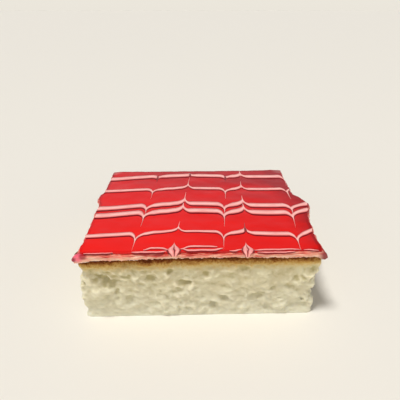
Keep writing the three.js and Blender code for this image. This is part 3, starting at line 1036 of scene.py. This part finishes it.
crusted = add_node(crumb, "ShaderNodeMix", links={0: browned.outputs[0], COLOUR_A: tinted,
                                                  COLOUR_B: brown.outputs["Color"]}, data_type="RGBA")
print("with its crust:", len(crumb.nodes), "nodes so far")

# %% [markdown]
# Milk sinks, so the sponge gets whiter, wetter and smoother towards its base. Wet crumb also lets light
# in a little way, which softens the shade in its pores. Subsurface scattering gives that, with a radius
# that is nearly the same for all colours, because milk scatters them alike.

# %% Damp base
DAMP_FROM = 26.75 * MM  # where it gets damp and where it is soaked, with the noise added
SOAKED_FROM = 3.75 * MM
CRUMB_LIGHT_DEPTH = 1.6 * MM
GRAIN_SIZE = 0.5 * MM
GRAIN_DEPTH = 0.12 * MM

wet = add_node(crumb, "ShaderNodeMapRange",
               {"From Min": DAMP_FROM, "From Max": SOAKED_FROM, "To Max": 0.85},
               {"Value": level.outputs[0]})
soaked = add_node(crumb, "ShaderNodeMix", {COLOUR_B: colour("#d3d0ba")},
                  {0: wet.outputs[0], COLOUR_A: crusted.outputs[MIXED]}, data_type="RGBA")
crumb.links.new(soaked.outputs[MIXED], crumb_shader.inputs["Base Color"])
# Damp crumb has a dull sheen, with hardly any gloss, and glows a little where it is thin
damp = add_node(crumb, "ShaderNodeMapRange", {"To Min": 0.58, "To Max": 0.36}, {"Value": wet.outputs[0]})
crumb.links.new(damp.outputs[0], crumb_shader.inputs["Roughness"])
set_inputs(crumb_shader, {"Specular IOR Level": 0.1, "Subsurface Weight": 0.4,
                          "Subsurface Scale": CRUMB_LIGHT_DEPTH, "Subsurface Radius": (1, 0.85, 0.6)})
grain = add_node(crumb, "ShaderNodeTexNoise", {"Scale": 1 / GRAIN_SIZE, "Detail": 3},
                 {"Vector": crumb_place})
bump = add_node(crumb, "ShaderNodeBump", {"Distance": GRAIN_DEPTH}, {"Height": grain.outputs["Fac"]})
crumb.links.new(bump.outputs[0], crumb_shader.inputs["Normal"])
print("soaked sponge crumb:", len(crumb.nodes), "nodes")

# %% [markdown]
# The cream took colour from the glaze as the knife went through both: salmon, with long red streaks along
# the cut, and whiter towards its lower lip. Noise that is stretched along the edge gives the streaks, and
# the height adds the change from red to white. At the corners more glaze was drawn over it, so round
# stains are laid on, by the distance from a place. One more round mark, dark crimson at the left edge of
# the fold, is painted shade.

# %% Stained cream
CREAM_LIGHT_DEPTH = 0.8 * MM
STREAK_HEIGHT = 0.6 * MM
STREAK_STRETCH = 8  # how many times as long as high a streak is
PALE_LIP = 30.8 * MM  # the height at which the cream is whitest
# Where glaze was drawn over the corners, and where painted shade darkens the left edge of the fold: place
# and reach in millimetres, colour, and the most of it
STAINS_AND_SHADE = [
    ((53, -44.5, 30.6), 5.5, "#7a0614", 0.9),
    ((-50.4, -45.4, 32.2), 3, "#e8647c", 0.85),
    # Painted shade: a dark mark along the left edge of the fold
    ((-52.2, -45, 31.2), 1.8, "#8a1230", 0.9),
    ((-47.8, -45.2, 32.8), 2, "#9c1626", 0.85),
]


def stained_cream():
    tree, shader, place = begin_material(cream, "stained_cream")
    # Whipped cream lets light in a little and has a soft sheen where the knife smoothed it
    set_inputs(shader, {"Roughness": 0.38, "Subsurface Weight": 0.25,
                        "Subsurface Scale": CREAM_LIGHT_DEPTH})
    flat = add_node(tree, "ShaderNodeMapping", {"Scale": (1 / STREAK_STRETCH, 1 / STREAK_STRETCH, 1)},
                    {"Vector": place})
    smear = add_node(tree, "ShaderNodeTexNoise",
                     {"Scale": 1 / STREAK_HEIGHT, "Detail": 4, "Distortion": 0.5},
                     {"Vector": flat.outputs[0]})
    height = add_node(tree, "ShaderNodeSeparateXYZ", links={"Vector": place})
    depth = add_node(tree, "ShaderNodeMapRange", {"From Min": CREAM_TOP, "From Max": PALE_LIP,
                                                  "To Min": -0.1, "To Max": 0.14},
                     {"Value": height.outputs["Z"]})
    paled = add_node(tree, "ShaderNodeMath", links={0: smear.outputs["Fac"], 1: depth.outputs[0]},
                     operation="ADD")
    tint = add_node(tree, "ShaderNodeValToRGB", links={"Fac": paled.outputs[0]})
    fill_ramp(tint, [(0.28, "#a81f1f"), (0.4, "#d4604f"), (0.52, "#e3927c"), (0.66, "#ecb89e"),
                     (0.8, "#f1d2bd")])
    tinted = tint.outputs["Color"]
    for middle, reach, code, most in STAINS_AND_SHADE:
        away = add_node(tree, "ShaderNodeVectorMath", {1: Vector(middle) * MM}, {0: place},
                        operation="DISTANCE")
        share = add_node(tree, "ShaderNodeMapRange", {"From Min": reach * MM, "From Max": reach / 2 * MM,
                                                      "To Max": most}, {"Value": away.outputs["Value"]})
        stain_and_shade = add_node(tree, "ShaderNodeMix", {COLOUR_B: colour(code)},
                         {0: share.outputs[0], COLOUR_A: tinted}, data_type="RGBA")
        tinted = stain_and_shade.outputs[MIXED]
    tree.links.new(tinted, shader.inputs["Base Color"])
    return len(tree.nodes)


print("stained cream:", stained_cream(), "nodes")

# %% [markdown]
# The glaze is a set mirror glaze: sugar, gelatine and red colour. It is deep red and smooth, so its
# surroundings show in it wherever it is seen at a low angle. Slow noise makes its red uneven. On top of
# that, painted light and shade make it lighter towards the front and the left and darker towards the back
# and the right, and painted shade darkens it further at its right edge, over its back half and along its
# rim. The grid's own UV map finds the edges, however they were dragged. All these shares are summed, and
# one ramp turns the sum into a red.

# %% Red glaze
CLOUD_SIZE = 12 * MM
CLOUD_STRETCH = 2.5  # how many times as long as wide a cloud is
SHADE_TOWARDS = math.radians(64)  # the way in which painted shade darkens the glaze, turned from X towards Y
SHADE_REACH = 60 * MM


def red_glaze():
    tree, shader, place = begin_material(glaze, "set_red_glaze")
    # Sugar syrup has about the refraction of plastic, and its skin dries to a soft gloss
    set_inputs(shader, {"IOR": 1.45})
    streaked = add_node(tree, "ShaderNodeMapping", {"Scale": (1 / CLOUD_STRETCH, 1, 1)}, {"Vector": place})
    cloud = add_node(tree, "ShaderNodeTexNoise", {"Scale": 1 / CLOUD_SIZE, "Detail": 3},
                     {"Vector": streaked.outputs[0]})
    uneven = add_node(tree, "ShaderNodeMapRange", {"From Min": 0.3, "From Max": 0.7, "To Min": 0.38,
                                                   "To Max": 0.62}, {"Value": cloud.outputs["Fac"]})
    turned = add_node(tree, "ShaderNodeMapping", {"Rotation": (0, 0, -SHADE_TOWARDS)}, {"Vector": place})
    shade_way = add_node(tree, "ShaderNodeSeparateXYZ", links={"Vector": turned.outputs[0]})
    lanes = add_node(tree, "ShaderNodeUVMap")
    shares = add_node(tree, "ShaderNodeSeparateXYZ", links={"Vector": lanes.outputs[0]})
    centred = add_node(tree, "ShaderNodeVectorMath", {1: (2, 2, 0), 2: (-1, -1, 0)}, {0: lanes.outputs[0]},
                       operation="MULTIPLY_ADD")
    outwards = add_node(tree, "ShaderNodeVectorMath", links={0: centred.outputs[0]}, operation="ABSOLUTE")
    sides = add_node(tree, "ShaderNodeSeparateXYZ", links={"Vector": outwards.outputs[0]})
    outermost = add_node(tree, "ShaderNodeMath", links={0: sides.outputs["X"], 1: sides.outputs["Y"]},
                         operation="MAXIMUM")
    # The uneven depth of the glaze, to which painted light and shade are added below
    thickness = uneven.outputs[0]
    # Painted light and shade: what is read, between which two values, and the shares that it adds there
    for output, start, stop, least, most in (
        (shade_way.outputs["X"], -SHADE_REACH, SHADE_REACH, -0.4, 0.34),
        (shares.outputs["X"], 0.89, 1, 0, 0.36),
        (shares.outputs["Y"], 0.5, 1, 0, 0.1),
        (outermost.outputs[0], 0.965, 1, 0, 0.5),
    ):
        more = add_node(tree, "ShaderNodeMapRange",
                        {"From Min": start, "From Max": stop, "To Min": least, "To Max": most},
                        {"Value": output})
        total = add_node(tree, "ShaderNodeMath", links={0: thickness, 1: more.outputs[0]}, operation="ADD")
        thickness = total.outputs[0]
    tint = add_node(tree, "ShaderNodeValToRGB", links={"Fac": thickness})
    fill_ramp(tint, [(0.1, "#f01910"), (0.5, "#dc130d"), (0.9, "#a00c0c")])
    tree.links.new(tint.outputs["Color"], shader.inputs["Base Color"])
    gloss = add_node(tree, "ShaderNodeMapRange", {"To Min": 0.15, "To Max": 0.23},
                     {"Value": cloud.outputs["Fac"]})
    tree.links.new(gloss.outputs[0], shader.inputs["Roughness"])
    return len(tree.nodes)


print("set red glaze:", red_glaze(), "nodes")

# %% [markdown]
# The icing is white sugar icing that lies wet in wet glaze, so red has bled into it. Each strip kept the
# UV map of its grid, whose second value runs across the row, and finds core and edges where place alone
# couldn't. One ramp over it gives the pale core, noise makes the bleeding uneven, and a second ramp lays a
# dark red over both along the edges, as painted shade.

# %% White icing
BLEED_SIZE = 5 * MM
SMEARED_FROM = -39 * MM  # towards the front edge, where the knife smeared more red into the icing
SMEARED_TO = -43 * MM


def white_icing():
    tree, shader, place = begin_material(icing, "feathered_white_icing")
    # Sugar icing dries to a soft gloss, a little duller than the glaze
    set_inputs(shader, {"Roughness": 0.32})
    lane = add_node(tree, "ShaderNodeUVMap")
    across = add_node(tree, "ShaderNodeSeparateXYZ", links={"Vector": lane.outputs[0]})
    tint = add_node(tree, "ShaderNodeValToRGB", links={"Fac": across.outputs["Y"]})
    fill_ramp(tint, [(0.22, "#e0706a"), (0.34, "#f5a59c"), (CORE, "#ffc9c0"), (0.7, "#f5a59c"),
                     (0.82, "#e0706a")])
    bleed = add_node(tree, "ShaderNodeTexNoise", {"Scale": 1 / BLEED_SIZE, "Detail": 4}, {"Vector": place})
    along = add_node(tree, "ShaderNodeSeparateXYZ", links={"Vector": place})
    smeared = add_node(tree, "ShaderNodeMapRange", {"From Min": SMEARED_FROM, "From Max": SMEARED_TO,
                                                    "To Max": 0.27}, {"Value": along.outputs["Y"]})
    red = add_node(tree, "ShaderNodeMath", links={0: bleed.outputs["Fac"], 1: smeared.outputs[0]},
                   operation="ADD")
    share = add_node(tree, "ShaderNodeMapRange", {"From Min": 0.45, "From Max": 0.75, "To Max": 0.6},
                     {"Value": red.outputs[0]})
    bled = add_node(tree, "ShaderNodeMix", {COLOUR_B: colour("#f08f8a")},
                    {0: share.outputs[0], COLOUR_A: tint.outputs["Color"]}, data_type="RGBA")
    # Painted shade: a dark red along both edges of each strip
    edges = add_node(tree, "ShaderNodeValToRGB", links={"Fac": across.outputs["Y"]})
    fill_ramp(edges, [(0.18, "#ffffff"), (0.25, "#000000"), (0.8, "#000000"), (0.87, "#ffffff")])
    shade_outlined = add_node(tree, "ShaderNodeMix", {COLOUR_B: colour("#76080f")},
                        {0: edges.outputs["Color"], COLOUR_A: bled.outputs[MIXED]}, data_type="RGBA")
    tree.links.new(shade_outlined.outputs[MIXED], shader.inputs["Base Color"])
    return len(tree.nodes)


print("feathered white icing:", white_icing(), "nodes")

# %% [markdown]
# ## Floor
# The floor is a plain pale sheet of studio paper, so large that its end doesn't show. It isn't part of the
# slice.

# %% Floor
FLOOR_SIZE = 30

bpy.ops.object.select_all(action="DESELECT")
bpy.ops.mesh.primitive_plane_add(size=FLOOR_SIZE)
floor = bpy.context.object
floor.name = "floor"
paper_shader = begin_material(floor, "warm_white_paper")[1]
# Uncoated paper is matt, so the slice casts a shadow on it but no mirror image
set_inputs(paper_shader, {"Base Color": colour("#e8e3d8"), "Roughness": 0.6})
print("floor:", FLOOR_SIZE, "m wide")

# %% [markdown]
# ## Light
# The light is soft and comes from two sides. A key light high on the left gives the tight shadow on the
# right. A broad glow in front opens the shade of the cut face. Area lamps could do both, but their
# square edges would mirror in the glaze and the floor would darken with distance. So the glow is part of
# the world, and the key is a sun with a wide disc. The world is also paler near the floor than overhead,
# which is what shows in the glaze towards its back. At the horizon it takes the tone of the lit floor,
# so that no line shows between them.

# %% Glow of the world
scene = bpy.context.scene
scene.view_settings.view_transform = "Standard"
scene.world = bpy.data.worlds.new("soft_studio")
scene.world.use_nodes = True
studio = scene.world.node_tree
direction = add_node(studio, "ShaderNodeTexCoord")
look = add_node(studio, "ShaderNodeSeparateXYZ", links={"Vector": direction.outputs["Generated"]})
surround = add_node(studio, "ShaderNodeValToRGB", links={"Fac": look.outputs["Z"]})
fill_ramp(surround, [(0, "#ebe6db"), (0.1, "#f2ede1"), (0.3, "#b7bac2"), (0.42, "#8a8d9a"),
                     (0.56, "#636469"), (1, "#404246")])
front = add_node(studio, "ShaderNodeMapRange", {"From Min": 0, "From Max": -1, "To Max": 0.8},
                 {"Value": look.outputs["Y"]}, interpolation_type="SMOOTHSTEP")
glow = add_node(studio, "ShaderNodeMix", {COLOUR_B: colour("#fff8ee")},
                {0: front.outputs[0], COLOUR_A: surround.outputs["Color"]}, data_type="RGBA",
                blend_type="ADD")
studio.links.new(glow.outputs[MIXED], studio.nodes["Background"].inputs["Color"])
print("world:", len(studio.nodes), "nodes")

# %% [markdown]
# A sun lamp has no place, only a direction. The angle of its disc sets how soft the edge of the shadow
# is: the real sun has half a degree, and this one stands for a lamp with a wide shade nearby. Its
# mirror image would wash out the pattern where it is seen from above, so glossy rays skip the lamp.

# %% Key light
KEY_FROM = Vector((-0.17, -0.1, 0.6))
KEY_POWER = 2.6
KEY_DISC = 14  # degrees

key = bpy.data.objects.new("key", bpy.data.lights.new("key", "SUN"))
key.data.energy = KEY_POWER
key.data.angle = math.radians(KEY_DISC)
key.visible_glossy = False
key.rotation_euler = KEY_FROM.to_track_quat("Z", "Y").to_euler()
scene.collection.objects.link(key)
print("key light", round(math.degrees(KEY_FROM.angle(Vector((0, 0, 1))))), "degrees from straight above")
